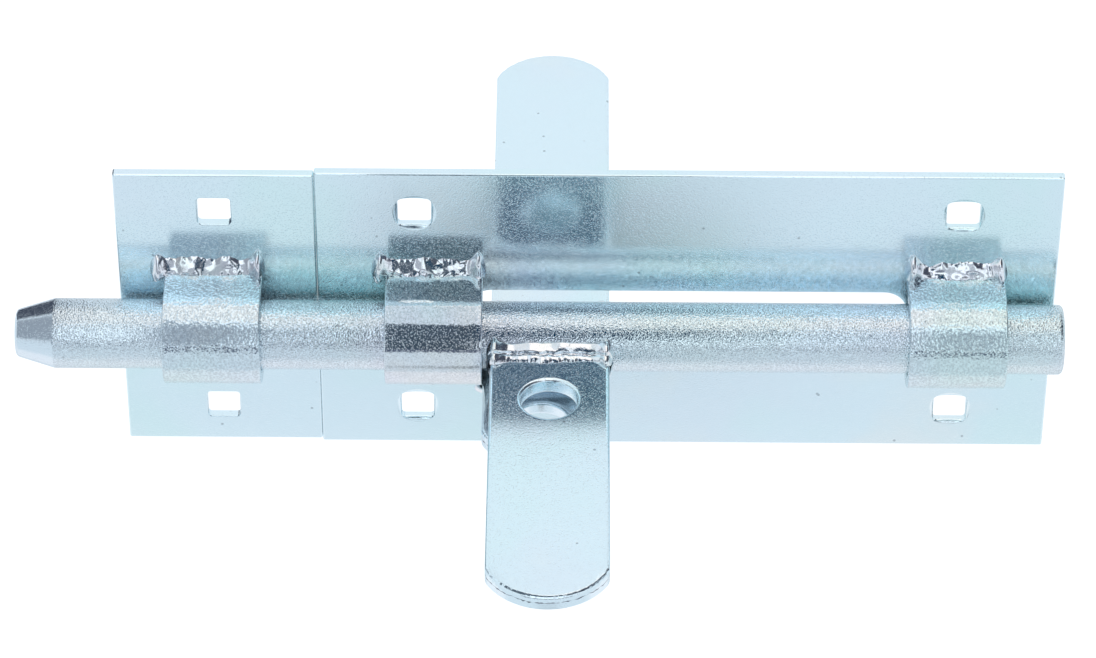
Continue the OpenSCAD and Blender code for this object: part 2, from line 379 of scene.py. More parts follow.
# %% Shader group for the plating's grain
def new_group(name, inputs, outputs):
    """Starts a shader group with named sockets, and gives its tree, its inputs and its outputs."""
    tree = bpy.data.node_groups.new(name, "ShaderNodeTree")
    for label, kind, value in inputs:
        socket = tree.interface.new_socket(name=label, in_out="INPUT", socket_type="NodeSocket" + kind)
        socket.default_value = value
    for label, kind in outputs:
        tree.interface.new_socket(name=label, in_out="OUTPUT", socket_type="NodeSocket" + kind)
    return tree, amounts_of(tree.nodes.new("NodeGroupInput")), tree.nodes.new("NodeGroupOutput").inputs


def shrunk(place, size):
    """A place counted in steps of a size, in metres."""
    return put(place.tree, "ShaderNodeVectorMath", {0: place, "Scale": 1.0 / size}, operation="SCALE")


def noise_at(place, size, detail=2.0, roughness=0.5, shift=(0.0, 0.0, 0.0)):
    """Noise whose lumps are about as wide as size, in metres."""
    moved = put(place.tree, "ShaderNodeVectorMath", {0: place, 1: shift}, operation="ADD")
    inputs = {"Vector": shrunk(moved, size), "Scale": 1.0, "Detail": detail, "Roughness": roughness}
    return put(place.tree, "ShaderNodeTexNoise", inputs)


grain_group, grain_in, grain_out = new_group(
    "Plating grain",
    [
        ("Grain Size", "Float", 0.35 * MM),
        ("Peel Size", "Float", 3 * MM),
        ("Peel Share", "Float", 0.5),
        ("Pock Size", "Float", 0.40 * MM),
        ("Pock Share", "Float", 0.6),
        ("Stretch", "Vector", (1.0, 1.0, 1.0)),
    ],
    [("Height", "Float"), ("Speckle", "Float")],
)
place = place_on_piece(grain_group)
drawn_out = put(grain_group, "ShaderNodeVectorMath", {0: place, 1: grain_in["Stretch"]}, operation="MULTIPLY")
crystals = noise_at(drawn_out, grain_in["Grain Size"], 1.0, 0.4)
peel = noise_at(place, grain_in["Peel Size"])
pocks = ramp(noise_at(place, grain_in["Pock Size"], 0.0), 0.60, 0.70)
height = crystals + peel * grain_in["Peel Share"] - pocks * grain_in["Pock Share"]
fill(grain_out["Height"], height)
fill(grain_out["Speckle"], crystals)
print("grain group:", len(grain_group.nodes), "nodes")

# %% [markdown]
# The clear passivation over the zinc is thin enough to tint it: pale blue for the most part, with patches
# that turn green, rose or straw. Three slow noises mix those tints, each in its own patches.

# %% Shader group for the passivation's tint
tint_group, tint_in, tint_out = new_group(
    "Passivation tint",
    [
        ("Blue", "Color", seen(206, 226, 240)),
        ("Green", "Color", seen(200, 224, 226)),
        ("Rose", "Color", seen(214, 218, 232)),
        ("Straw", "Color", seen(218, 224, 222)),
        ("Patch Size", "Float", 45 * MM),
    ],
    [("Color", "Color")],
)
place = place_on_piece(tint_group)
tint = tint_in["Blue"]
for label, detail, roughness, shift, low, high in (
    ("Green", 2.0, 0.5, (0.3, 0.1, 0.2), 0.42, 0.66),
    ("Rose", 3.0, 0.5, (0.7, 0.5, 0.9), 0.48, 0.72),
    ("Straw", 3.0, 0.6, (1.3, 0.2, 0.4), 0.54, 0.74),
):
    patches = ramp(noise_at(place, tint_in["Patch Size"], detail, roughness, shift), low, high)
    tint = blend_colours(patches, tint, tint_in[label])
fill(tint_out["Color"], tint)
print("tint group:", len(tint_group.nodes), "nodes")

# %% [markdown]
# A plated part is tumbled in a barrel with hundreds of others and picks up pinholes and hairline
# scratches. Specks come from the distance to scattered points, and scratches from noise that is stretched
# into hairs in three directions. Both are masks, and one share decides how much they show in every finish.

# %% Shader group for specks and scratches
marks_group, marks_in, marks_out = new_group(
    "Barrel marks",
    [
        ("Speck Spacing", "Float", 7 * MM),
        ("Speck Size", "Float", 0.035),
        ("Hair Width", "Float", 0.22 * MM),
    ],
    [("Specks", "Float"), ("Scratches", "Float")],
)
hair_axis = (0.3, 1.0, 0.2)
hair_stretch = (0.02, 0.5, 1.0)
place = place_on_piece(marks_group)
points = {"Vector": shrunk(place, marks_in["Speck Spacing"]), "Scale": 1.0}
distance = put(marks_group, "ShaderNodeTexVoronoi", points)
specks = ramp(distance, marks_in["Speck Size"], marks_in["Speck Size"] * 2.0, 1.0, 0.0)
hairs = 0.0
for angle, shift in ((25, 0.4), (-38, 1.7), (80, 2.9)):
    turning = {"Vector": place, "Axis": hair_axis, "Angle": math.radians(angle)}
    turned = put(marks_group, "ShaderNodeVectorRotate", turning)
    drawn_out = put(marks_group, "ShaderNodeVectorMath", {0: turned, 1: hair_stretch}, operation="MULTIPLY")
    hair = noise_at(drawn_out, marks_in["Hair Width"], 1.0, 0.5, (shift, shift, 0.0))
    hairs = hairs + ramp(hair, 0.78, 0.84)
fill(marks_out["Specks"], specks)
fill(marks_out["Scratches"], calc("MINIMUM", hairs, 1.0))
print("marks group:", len(marks_group.nodes), "nodes")

# %% [markdown]
# Every finish is the same metal with other amounts: its tint, the size and strength of its crystals, the
# streaks of the way it was rolled or turned, and how dull it is. One function puts the three groups
# together, so that the finishes stay one family.

# %% Put a finish together
speck_shade = seen(120, 132, 140)
scratch_shade = seen(150, 165, 172)
marks_share = 0.5
scratch_pale = 0.35
scratch_dull = 0.12
scratch_deep = 0.3


def use_group(tree, group, **values):
    node = add(tree, "ShaderNodeGroup", node_tree=group)
    for label, value in values.items():
        fill(node.inputs[label.replace("_", " ")], value)
    return amounts_of(node)


def zinc_finish(
    name, tint, grain, peel, bump, dullness,
    stretch=(1.0, 1.0, 1.0), patch=45 * MM, speckle=0.0, pocks=0.6, swell=0.5,
):
    """Bright zinc over steel. The tint is four colours. Grain, peel, bump and patch are in metres."""
    finish = bpy.data.materials.new(name)
    finish.use_nodes = True
    tree = finish.node_tree
    shader = tree.nodes["Principled BSDF"].inputs
    blue, green, rose, straw = (seen(*shade) for shade in tint)
    colour = use_group(tree, tint_group, Blue=blue, Green=green, Rose=rose, Straw=straw, Patch_Size=patch)
    skin = use_group(
        tree, grain_group,
        Grain_Size=grain, Peel_Size=peel, Peel_Share=swell, Pock_Share=pocks, Stretch=stretch,
    )
    barrel = use_group(tree, marks_group)
    scratches = barrel["Scratches"] * marks_share
    pits = (1.0 - ramp(skin["Speckle"], 0.35, 0.65)) * speckle
    spots = calc("MAXIMUM", barrel["Specks"] * marks_share, pits)
    worn = blend_colours(spots, colour["Color"], speck_shade)
    worn = blend_colours(scratches * scratch_pale, worn, scratch_shade)
    dull = ramp(skin["Speckle"], 0.3, 0.7, dullness * 0.85, dullness * 1.2, "LINEAR")
    relief = skin["Height"] - scratches * scratch_deep
    fill(shader["Metallic"], 1.0)
    fill(shader["Base Color"], worn)
    fill(shader["Roughness"], dull + scratches * scratch_dull)
    fill(shader["Normal"], put(tree, "ShaderNodeBump", {"Height": relief, "Strength": 1.0, "Distance": bump}))
    print(name, "finish:", len(tree.nodes), "nodes")
    return finish


# %% [markdown]
# Each tint is four colours as a picture shows them: blue, green, rose and straw. The plates and the flat
# bars are smooth, and the strap and the round bar are grainy. The front hoop's strap is a smoother piece
# than the other two. The lathe's rings are noise that is drawn out round the nose. The torn metal at the
# handles' ends is dull, and its dark tint is painted shade in the tear.

# %% Finishes of the pieces
plate_tint = ((228, 246, 253), (224, 247, 250), (229, 244, 252), (233, 245, 248))
strap_tint = ((219, 235, 244), (214, 236, 238), (224, 232, 244), (226, 233, 235))
rod_tint = ((222, 237, 246), (220, 238, 242), (226, 234, 245), (230, 236, 239))
bead_tint = ((236, 242, 248), (232, 242, 243), (238, 240, 247), (244, 242, 240))
# The torn tint is far darker than zinc: it is painted shade in the tear, while its roughness is real
torn_shade_tint = ((120, 124, 140), (110, 120, 128), (134, 126, 144), (140, 138, 142))
along_strap = (1.0, 0.8, 0.8)
along_bar = (1.0, 0.6, 1.0)
round_nose = (1.0, 0.08, 0.08)

plate_finish = zinc_finish(
    "plate_zinc", plate_tint, 0.50 * MM, 3.5 * MM, 0.010 * MM, 0.14, pocks=1.6, swell=0.15,
)
bar_finish = zinc_finish(
    "bar_zinc", plate_tint, 0.50 * MM, 3 * MM, 0.010 * MM, 0.15, along_bar, pocks=1.6, swell=0.2,
)
strap_finish = zinc_finish(
    "strap_zinc", strap_tint, 0.60 * MM, 3 * MM, 0.110 * MM, 0.09, along_strap, speckle=0.25,
)
smooth_strap_finish = zinc_finish(
    "smooth_strap_zinc", strap_tint, 0.60 * MM, 3 * MM, 0.028 * MM, 0.09, along_strap,
    speckle=0.15, pocks=2.0,
)
rod_finish = zinc_finish("bolt_zinc", rod_tint, 0.45 * MM, 2.5 * MM, 0.150 * MM, 0.09, speckle=0.25)
nose_finish = zinc_finish("turned_zinc", rod_tint, 0.45 * MM, 1.5 * MM, 0.040 * MM, 0.18, round_nose)
bead_finish = zinc_finish(
    "weld_metal", bead_tint, 0.50 * MM, 1.4 * MM, 0.012 * MM, 0.13, patch=8 * MM, speckle=0.05,
)
# The torn finish carries painted shade in its dark tint
torn_shaded_finish = zinc_finish(
    "torn_zinc_painted_shade", torn_shade_tint, 0.30 * MM, 1.0 * MM, 0.080 * MM, 0.35, patch=6 * MM, speckle=0.5,
)

# %% [markdown]
# The plates, handles and lug are flat blanks, and what gives them away as real is their edges. A punch
# rolls the edge on the side where it enters and breaks it off sharp on the other. So an edge is three
# outlines with the same number of points: where the flat face ends, the wall, and where the back starts.
# Rings of points between them make the roll, and the two flat faces are filled across all the outlines at
# once.

# %% Make a punched blank
Edge = namedtuple("Edge", "face wall back rolls back_roll tears")
roll_steps = 6
tear_grain = 0.9 * MM
torn_gap = 0.03 * MM
torn_band = 0.6
band_wander = 1.6


def between(first, second, share):
    """The place at a share of the way from one place to another."""
    return (first[0] + (second[0] - first[0]) * share, first[1] + (second[1] - first[1]) * share)


def ring_points(edge, depth_of_blank):
    """Points of each ring of an edge, as two places on the blank and a depth below its face."""
    rings = []
    for step in range(roll_steps + 1):
        turn = math.radians(90 * step / roll_steps)
        share = math.sin(turn)
        ring = []
        for face, wall, roll, tear in zip(edge.face, edge.wall, edge.rolls, edge.tears):
            wander = noise.noise(Vector((*wall, 0)) / tear_grain) * tear * share
            ring.append((*between(face, wall, share), roll * (1 - math.cos(turn)) + wander))
        rings.append(ring)
    # A second wandering ring below the roll bounds the torn band, which closes where there is no tear
    torn_ring = []
    for wall, above, tear in zip(edge.wall, rings[-1], edge.tears):
        band = torn_band + noise.noise(Vector((*wall, 9 * MM)) / tear_grain) * band_wander
        torn_ring.append((*wall, above[2] + torn_gap + tear * max(band, 0.0)))
    rings.append(torn_ring)
    for step in range(roll_steps + 1):
        turn = math.radians(90 * step / roll_steps)
        share = 1 - math.cos(turn)
        depth = depth_of_blank - edge.back_roll * (1 - math.sin(turn))
        rings.append([(*between(wall, back, share), depth) for wall, back in zip(edge.wall, edge.back)])
    return rings


def join_rings(bm, first, second, finish_number=0):
    for i in range(len(first)):
        j = (i + 1) % len(first)
        bm.faces.new((first[i], first[j], second[j], second[i])).material_index = finish_number


def fill_across(bm, rings):
    """Fills a flat face between an outer ring and the rings of its holes."""
    edges = []
    for ring in rings:
        for i in range(len(ring)):
            edges.append(bm.edges.get((ring[i - 1], ring[i])))
    bmesh.ops.triangle_fill(bm, use_beauty=True, use_dissolve=False, edges=edges)


def link_piece(name, bm, finish):
    """Turns a closed shell's faces outwards, gives it a finish and puts it in the scene."""
    bmesh.ops.recalc_face_normals(bm, faces=bm.faces)
    open_edges = sum(1 for edge in bm.edges if len(edge.link_faces) != 2)
    for face in bm.faces:
        face.smooth = True
    mesh = bpy.data.meshes.new(name)
    bm.to_mesh(mesh)
    bm.free()
    mesh.materials.append(finish)
    piece = bpy.data.objects.new(name, mesh)
    bpy.context.scene.collection.objects.link(piece)
    even = piece.modifiers.new("even_normals", "WEIGHTED_NORMAL")
    even.weight = 100
    if open_edges:
        print("open edges on", name, open_edges)
    return piece


def punched_blank(name, edges, depth_of_blank, place, finish):
    bm = bmesh.new()
    first_rings = []
    last_rings = []
    for edge in edges:
        rings = []
        for ring in ring_points(edge, depth_of_blank):
            rings.append([bm.verts.new(place(*point)) for point in ring])
        is_torn = max(edge.tears) > 0
        for number, (first, second) in enumerate(zip(rings, rings[1:])):
            join_rings(bm, first, second, 1 if is_torn and number == roll_steps else 0)
        first_rings.append(rings[0])
        last_rings.append(rings[-1])
    fill_across(bm, first_rings)
    fill_across(bm, last_rings)
    piece = link_piece(name, bm, finish)
    if any(max(edge.tears) > 0 for edge in edges):
        piece.data.materials.append(torn_shaded_finish)
    return piece


# %% [markdown]
# All outlines here are rounded boxes, slots, circles or the handles' tongue. Each is written once, for a
# given inset, so that the face, wall and back of an edge are the same shape at three sizes.

# %% Outlines
def arc(centre_u, centre_v, radius, start, sweep, steps):
    points = []
    for i in range(steps + 1):
        turn = math.radians(start + sweep * i / steps)
        points.append((centre_u + radius * math.cos(turn), centre_v + radius * math.sin(turn)))
    return points


def with_sides(corners, side_steps):
    """Joins corner arcs into a loop and adds evenly spaced points along the straight sides between them."""
    loop = []
    for i, corner in enumerate(corners):
        loop.extend(corner)
        following = corners[(i + 1) % len(corners)]
        for k in range(1, side_steps):
            loop.append(between(corner[-1], following[0], k / side_steps))
    return loop


def rounded_box(centre, half_u, half_v, radius, grow=0.0, corner_steps=6, side_steps=10):
    half_u = half_u + grow
    half_v = half_v + grow
    radius = max(radius + grow, 0.02 * MM)
    corners = []
    for quarter, (side_u, side_v) in enumerate(((1, 1), (-1, 1), (-1, -1), (1, -1))):
        middle_u = centre[0] + side_u * (half_u - radius)
        middle_v = centre[1] + side_v * (half_v - radius)
        corners.append(arc(middle_u, middle_v, radius, 90 * quarter, 90, corner_steps))
    return with_sides(corners, side_steps)


def tongue(half_width, length, end_radius, corner_radius, grow=0.0, end_grow=None, side_steps=40):
    """A bar's outline from its root at v = 0 to its rounded end, with the corners blended."""
    end_grow = grow if end_grow is None else end_grow
    blend_u = half_width - corner_radius
    rise = math.sqrt((end_radius - corner_radius) ** 2 - blend_u ** 2)
    blend_v = length - end_radius + rise
    turn = math.degrees(math.atan2(rise, blend_u))
    corner_steps = 16
    end_steps = 110
    right_corner = []
    left_corner = []
    for step in range(corner_steps + 1):
        share = step / corner_steps
        reach = corner_radius + grow + (end_grow - grow) * share
        angle = math.radians(turn * share)
        side_u = blend_u + reach * math.cos(angle)
        side_v = blend_v + reach * math.sin(angle)
        right_corner.append((side_u, side_v))
        left_corner.insert(0, (-side_u, side_v))
    end = arc(0, length - end_radius, end_radius + end_grow, turn, 180 - 2 * turn, end_steps)
    root_right = [(half_width + grow, 0.0)]
    root_left = [(-half_width - grow, 0.0)]
    return with_sides([root_right, right_corner + end[1:-1] + left_corner, root_left], side_steps)


def plain_edge(outline, roll, back_roll, outwards, width=None):
    """An edge with the same roll all round. Outwards is -1 for an outer edge and 1 for a hole."""
    width = roll if width is None else width
    wall = outline(0.0)
    return Edge(
        outline(outwards * width), wall, outline(outwards * back_roll),
        [roll] * len(wall), back_roll, [0.0] * len(wall),
    )


# %% [markdown]
# The square holes were punched by a tool with a round shoulder. It pressed a round dimple into the sheet,
# which just touches the hole's four corners, so the rim is widest in the middle of each side. On the keep
# plate the shoulder didn't reach the sheet, and the holes have a plain small roll.

# %% Edges of the square holes
hole_half = 4.25 * MM
hole_corner = 1 * MM
dimple_radius = 5.75 * MM
dimple_depth = 1.0 * MM
hole_roll = 0.3 * MM
break_roll = 0.12 * MM


def plain_hole(centre):
    def outline(grow):
        return rounded_box(centre, hole_half, hole_half, hole_corner, grow)
    return plain_edge(outline, hole_roll, break_roll, 1)


def dimpled_hole(centre):
    hole = plain_hole(centre)
    face = []
    for u, v in hole.wall:
        turn = math.atan2(v - centre[1], u - centre[0])
        face.append((centre[0] + dimple_radius * math.cos(turn), centre[1] + dimple_radius * math.sin(turn)))
    return hole._replace(face=face, rolls=[dimple_depth] * len(face))


# %% [markdown]
# The main plate: one outer edge, four square holes and the long slot. The slot starts hidden behind the
# front hoop and ends at the rear one. Only a thin dark line shows between the two plates of the real
# bolt, so each is drawn a little nearer to the other here.

# %% Main plate
plate_roll = 0.45 * MM
slot_roll = 0.4 * MM
plate_corner = 0.5 * MM
slot_half_height = 6 * MM
slot_behind_front = 3.8 * MM
slot_behind_rear = 0.3 * MM
close_up = 0.3 * MM
front_hoop_low, front_hoop_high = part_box("front_hoop")
rear_hoop_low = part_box("rear_hoop")[0]


def on_plate(u, v, depth):
    return (u, plate_front + depth, v)


def box_edge(low, high):
    centre = ((low.x + high.x) / 2, (low.z + high.z) / 2)
    half_u = (high.x - low.x) / 2
    half_v = (high.z - low.z) / 2

    def outline(grow):
        return rounded_box(centre, half_u, half_v, plate_corner, grow)
    return plain_edge(outline, plate_roll, break_roll, -1)


slot_start = front_hoop_high.x - slot_behind_front
slot_end = rear_hoop_low.x + slot_behind_rear
slot_centre = ((slot_start + slot_end) / 2, rod_axis.z)
slot_half_length = (slot_end - slot_start) / 2


def slot_outline(grow):
    middle = slot_half_length - slot_half_height
    right = arc(slot_centre[0] + middle, slot_centre[1], slot_half_height + grow, -90, 180, 24)
    left = arc(slot_centre[0] - middle, slot_centre[1], slot_half_height + grow, 90, 180, 24)
    return with_sides([right, left], 40)


main_edges = [
    box_edge(main_low - Vector((close_up, 0, 0)), main_high),
    plain_edge(slot_outline, slot_roll, break_roll, 1),
]
for side_x in (-1, 1):
    for side_z in (-1, 1):
        main_edges.append(dimpled_hole((side_x * hole_pitch_x / 2, side_z * hole_pitch_z / 2)))
main_plate = punched_blank("main_plate_plated", main_edges, plate_t, on_plate, plate_finish)
stand_for(main_plate, "main_plate")

# %% [markdown]
# The keep plate is the same sheet, with its own two holes.

# %% Keep plate
keep_x = (keep_low.x + keep_high.x) / 2
keep_edges = [box_edge(keep_low, keep_high + Vector((close_up, 0, 0)))]
for side_z in (-1, 1):
    keep_edges.append(plain_hole((keep_x, side_z * hole_pitch_z / 2)))
keep_plate = punched_blank("keep_plate_plated", keep_edges, plate_t, on_plate, plate_finish)
stand_for(keep_plate, "keep_plate")

# %% [markdown]
# The handles and the lug are cut from one flat bar. Its long edges are rolled softly by the mill. Its
# rounded end was cut by a die from above: the sheet drew down deep before it tore, so there the roll is
# deep, a torn band wanders along its foot, and a smooth strip is left below. The round eyes have a wide
# bright rim, and the lug's eye broke out wider at its back.

# %% Handles and lug
bar_roll = 0.45 * MM
bar_roll_width = 1.1 * MM
end_roll = 1.7 * MM
end_roll_width = 1.0 * MM
end_tear = 0.30 * MM
eye_radius = 7.25 * MM
eye_rim = 0.6 * MM
eye_rim_width = 1.2 * MM
eye_break = 0.25 * MM
lug_eye_break = 1.2 * MM
break_slant = 1.4
bar_back_roll = 0.2 * MM
roll_blend = 2 * MM
end_radius = 17 * MM
corner_radius = 5 * MM
root_in_rod = 0.6 * MM


def bar_piece(name, node, eye_out=None, root_sink=0.0, break_out=eye_break):
    """A bar along Y, from its root to its rounded end, with an eye that may break out wider at its back."""
    low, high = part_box(node)
    towards = -1 if high.y < 0 else 1
    root = (high.y if towards < 0 else low.y) - towards * root_sink
    tip = low.y if towards < 0 else high.y
    middle_x = (low.x + high.x) / 2
    length = abs(tip - root)
    half_width = (high.x - low.x) / 2

    def on_bar(u, v, depth):
        return (middle_x + u, root + towards * v, high.z - depth)

    def outline(grow=0.0, end_grow=None):
        return tongue(half_width, length, end_radius, corner_radius, grow, end_grow)

    wall = outline()
    end_rise = math.sqrt((end_radius - corner_radius) ** 2 - (half_width - corner_radius) ** 2)
    cut_from = length - end_radius + end_rise
    rolls = []
    tears = []
    for _, v in wall:
        share = min(max((v - cut_from) / roll_blend, 0.0), 1.0)
        rolls.append(bar_roll + (end_roll - bar_roll) * share)
        tears.append(end_tear * share)
    face = outline(-bar_roll_width, -end_roll_width)
    edges = [Edge(face, wall, outline(-bar_back_roll), rolls, bar_back_roll, tears)]
    if eye_out is not None:
        centre_v = abs(plate_front - eye_out - root)

        def eye(grow):
            return arc(0, centre_v, eye_radius + grow, 0, 357.5, 143)

        eye_edge = plain_edge(eye, eye_rim, break_out, 1, eye_rim_width)
        edges.append(eye_edge._replace(back=eye(break_out * break_slant)))
    piece = punched_blank(name, edges, high.z - low.z, on_bar, bar_finish)
    stand_for(piece, node)


bar_piece("front_handle_plated", "front_handle", eye_out=37.8 * MM, root_sink=root_in_rod)
bar_piece("rear_handle_plated", "rear_handle", root_sink=root_in_rod)
bar_piece("padlock_lug_plated", "padlock_lug", eye_out=33.6 * MM, break_out=lug_eye_break)

# %% [markdown]
# The bolt is turned from round bar, so its shape is one profile spun about its axis. The nose is a short
# taper with a rounded end, and the tail has a small chamfer. Two finishes meet at the end of the taper:
# the lathe left fine rings on the nose, and the rest has the bar's own grainy skin.

# %% Bolt
nose_length = 9 * MM
nose_small_radius = 6.25 * MM
nose_round = 1.2 * MM
taper_blend = 0.25 * MM
tail_chamfer = 0.8 * MM
rod_segments = 160


def spun_piece(name, profile, finish):
    """Spins a profile of (place along X, radius) about the bolt's axis and closes both ends in a point."""
    bm = bmesh.new()
    rings = []
    for x, radius in profile:
        ring = []
        for i in range(rod_segments):
            turn = 2 * math.pi * i / rod_segments
            y = rod_axis.y + radius * math.cos(turn)
            ring.append(bm.verts.new((x, y, rod_axis.z + radius * math.sin(turn))))
        rings.append(ring)
    for first, second in zip(rings, rings[1:]):
        join_rings(bm, first, second)
    for ring, x in ((rings[0], profile[0][0]), (rings[-1], profile[-1][0])):
        middle = bm.verts.new((x, rod_axis.y, rod_axis.z))
        for i in range(rod_segments):
            bm.faces.new((ring[i - 1], ring[i], middle))
    return link_piece(name, bm, finish)


nose_slope = math.atan((rod_r - nose_small_radius) / nose_length)
round_from = nose_small_radius - nose_round * math.cos(nose_slope)
taper_start = rod_low.x + nose_round * (1 - math.sin(nose_slope))
taper_end = taper_start + nose_length
profile = [(rod_low.x, round_from * 0.5)]
round_steps = 8
for step in range(round_steps + 1):
    turn = (math.pi / 2 - nose_slope) * step / round_steps
    profile.append((rod_low.x + nose_round * (1 - math.cos(turn)), round_from + nose_round * math.sin(turn)))
profile.extend([
    (taper_end - taper_blend, rod_r - taper_blend * math.tan(nose_slope)),
    (taper_end + 0.1 * MM, rod_r),
    (taper_end + 1 * MM, rod_r),
    (rod_high.x - tail_chamfer - 0.5 * MM, rod_r),
    (rod_high.x - tail_chamfer, rod_r - 0.03 * MM),
    (rod_high.x - tail_chamfer * 0.3, rod_r - tail_chamfer * 0.55),
    (rod_high.x, rod_r - tail_chamfer * 1.3),
    (rod_high.x, rod_r * 0.5),
])
bolt_rod = spun_piece("bolt_rod_plated", profile, rod_finish)
bolt_rod.data.materials.append(nose_finish)
for face in bolt_rod.data.polygons:
    if face.center.x < taper_end - 0.05 * MM:
        face.material_index = 1
stand_for(bolt_rod, "bolt_rod")

# %% [markdown]
# Hoops and weld beads are alike but for their sizes, so each kind is one tree of Geometry Nodes, which is
# run once for each piece. These helpers start such a tree, end it, and keep what it built as a mesh.

# %% Helpers for geometry trees
def new_tree(name, numbers, others):
    """Starts a geometry tree with named inputs, and gives it with those inputs and their identifiers."""
    tree = bpy.data.node_groups.new(name, "GeometryNodeTree")
    tree.interface.new_socket(name="Geometry", in_out="OUTPUT", socket_type="NodeSocketGeometry")
    inputs = dict.fromkeys(numbers, "Float")
    inputs.update(others, Finish="Material")
    identifiers = {}
    for label, kind in inputs.items():
        socket = tree.interface.new_socket(name=label, in_out="INPUT", socket_type="NodeSocket" + kind)
        identifiers[label] = socket.identifier
    return tree, amounts_of(tree.nodes.new("NodeGroupInput")), identifiers


def end_tree(tree, geometry, finish):
    real = put(tree, "GeometryNodeRealizeInstances", {"Geometry": geometry})
    coated = put(tree, "GeometryNodeSetMaterial", {"Geometry": real, "Material": finish})
    add(tree, "NodeGroupOutput", {0: coated})
    print(tree.name, "tree:", len(tree.nodes), "nodes")


def built_by(tree, identifiers, name, finish, **values):
    """Runs a tree once and keeps its result as a plain closed mesh."""
    worker = bpy.data.objects.new(name + "_worker", bpy.data.meshes.new(name + "_worker"))
    bpy.context.scene.collection.objects.link(worker)
    build = worker.modifiers.new("build", "NODES")
    build.node_group = tree
    build[identifiers["Finish"]] = finish
    for label, value in values.items():
        build[identifiers[label.replace("_", " ")]] = value
    graph = bpy.context.evaluated_depsgraph_get()
    made = bpy.data.meshes.new_from_object(worker.evaluated_get(graph))
    bpy.data.objects.remove(worker)
    bm = bmesh.new()
    bm.from_mesh(made)
    bmesh.ops.remove_doubles(bm, verts=bm.verts, dist=0.002 * MM)
    return link_piece(name, bm, finish)


# %% [markdown]
# A hoop is a strip of strap bent round a mandrel, so its shape follows a rule: a half circle in front
# with two straight legs. The tree bends a straight line into that path by arithmetic on the place along
# it, sweeps a rounded strap section along it, and closes the ends.

# %% Node tree for a bent strap
strap_sizes = ("Bend Radius", "Leg", "Width", "Thickness", "Edge Radius")
strap_tree, strap_in, strap_ids = new_tree("Bent strap", strap_sizes, {"Place": "Vector"})
path_steps = 120
line = put(strap_tree, "GeometryNodeCurvePrimitiveLine", {"End": (1.0, 0.0, 0.0)})
path = put(strap_tree, "GeometryNodeResampleCurve", {"Curve": line, "Count": path_steps})
along = put(strap_tree, "GeometryNodeSplineParameter")
bend_radius = strap_in["Bend Radius"]
bend_length = bend_radius * math.pi
run = along * (bend_length + strap_in["Leg"] * 2.0) - strap_in["Leg"]
turn = calc("MINIMUM", calc("MAXIMUM", run, 0.0), bend_length) / bend_radius
legs = calc("MAXIMUM", -run, 0.0) + calc("MAXIMUM", run - bend_length, 0.0)
path_y = legs - calc("SINE", turn) * bend_radius
path_z = calc("COSINE", turn) * bend_radius
path_point = put(strap_tree, "ShaderNodeCombineXYZ", {"Y": path_y, "Z": path_z})
bent = put(strap_tree, "GeometryNodeSetPosition", {"Geometry": path, "Position": path_point})
upright = put(strap_tree, "GeometryNodeSetCurveNormal", {"Curve": bent}, mode="MINIMUM_TWIST")
section_sizes = {0: strap_in["Width"], 1: strap_in["Thickness"]}
section = put(strap_tree, "GeometryNodeCurvePrimitiveQuadrilateral", section_sizes)
rounding = {"Curve": section, "Radius": strap_in["Edge Radius"], "Count": 3}
rounded = put(strap_tree, "GeometryNodeFilletCurve", rounding, mode="POLY")
sweep = {"Curve": upright, "Profile Curve": rounded, "Fill Caps": True}
swept = put(strap_tree, "GeometryNodeCurveToMesh", sweep)
moved = put(strap_tree, "GeometryNodeTransform", {"Geometry": swept, "Translation": strap_in["Place"]})
end_tree(strap_tree, moved, strap_in["Finish"])

# %% [markdown]
# Each hoop takes its width, its bend and its place from the box of its solid.

# %% Three hoops
strap_edge = 0.35 * MM
for node, finish in (
    ("front_hoop", smooth_strap_finish), ("rear_hoop", strap_finish), ("keep_hoop", strap_finish),
):
    low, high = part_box(node)
    outer = (high.z - low.z) / 2
    hoop = built_by(
        strap_tree, strap_ids, node + "_plated", finish,
        Bend_Radius=outer - strap_t / 2,
        Leg=plate_front - rod_axis.y,
        Width=high.x - low.x,
        Thickness=strap_t,
        Edge_Radius=strap_edge,
        Place=((low.x + high.x) / 2, rod_axis.y, rod_axis.z),
    )
    made = [vertex.co for vertex in hoop.data.vertices]
    spans = [round((max(c[k] for c in made) - min(c[k] for c in made)) / MM, 2) for k in range(3)]
    print(hoop.name, "spans", spans, "mm; the solid spans", [round(s / MM, 2) for s in high - low])
    stand_for(hoop, node)

# %% [markdown]
# A weld bead is metal laid into a corner, drop by drop. It is fattest where the welder started and
# stopped, its drops leave ripples, and its toes are ragged. The tree first sweeps a slice of a circle
# along the corner, and notes for each point its share of the way round the slice.

# %% Node tree for a weld bead
bead_numbers = (
    "Run", "Out", "Up", "From", "Sweep", "Start Over", "End Over", "Flare", "Waist",
    "Ripple Pitch", "Ripple", "Lumps", "Rags", "Groove", "Seed",
)
bead_places = {"Place": "Vector", "Turn": "Rotation"}
bead_tree, bead_in, bead_ids = new_tree("Weld bead", bead_numbers, bead_places)
bead_step = 0.2 * MM
slice_points = 30
slice_radius = 1 * MM
slice_angle = math.radians(100)


def point_of(x, y=0.0, z=0.0):
    return put(bead_tree, "ShaderNodeCombineXYZ", {"X": x, "Y": y, "Z": z})


def noted(geometry, label, value):
    """Notes a number on every point of a curve, so that it can still be read after the sweep."""
    note = {"Geometry": geometry, "Name": label, "Value": value}
    return put(bead_tree, "GeometryNodeStoreNamedAttribute", note, data_type="FLOAT", domain="POINT")


